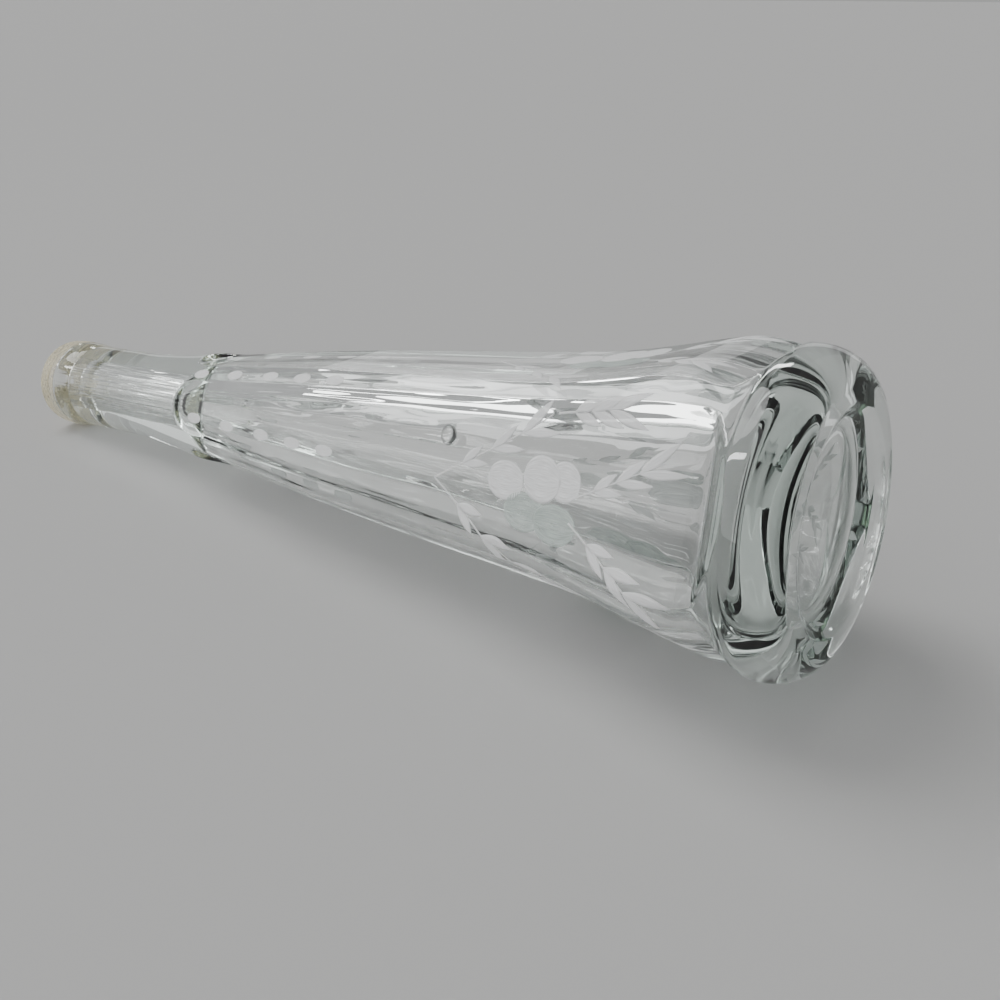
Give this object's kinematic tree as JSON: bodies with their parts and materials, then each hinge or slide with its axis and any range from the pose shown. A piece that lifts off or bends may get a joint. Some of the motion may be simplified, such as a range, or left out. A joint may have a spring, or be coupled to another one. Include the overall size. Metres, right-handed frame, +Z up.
{
  "type": "glass decanter bottle",
  "caption": "Tall conical clear-glass bottle with arched flat panels, a thick rounded heel, a straight narrow-bored neck and a laid-on lip; holds and pours liquid.",
  "frame": {"origin": "centre of the base, in the plane of the resting ring", "axes": "+Z runs up the bottle's axis and out of its mouth; the middle of the first panel faces 106 degrees from +X towards +Y, and the other panels follow every 72 degrees"},
  "size_m": [0.0676, 0.0676, 0.25],
  "materials": {
    "clear_glass": "fire-polished, wheel-engraved",
    "lip_glass": "fire-polished bead with a ground rim"
  },
  "bodies": {
    "root": {"bottle_body": "clear_glass", "lip_ring": "lip_glass"}
  },
  "joints": []
}
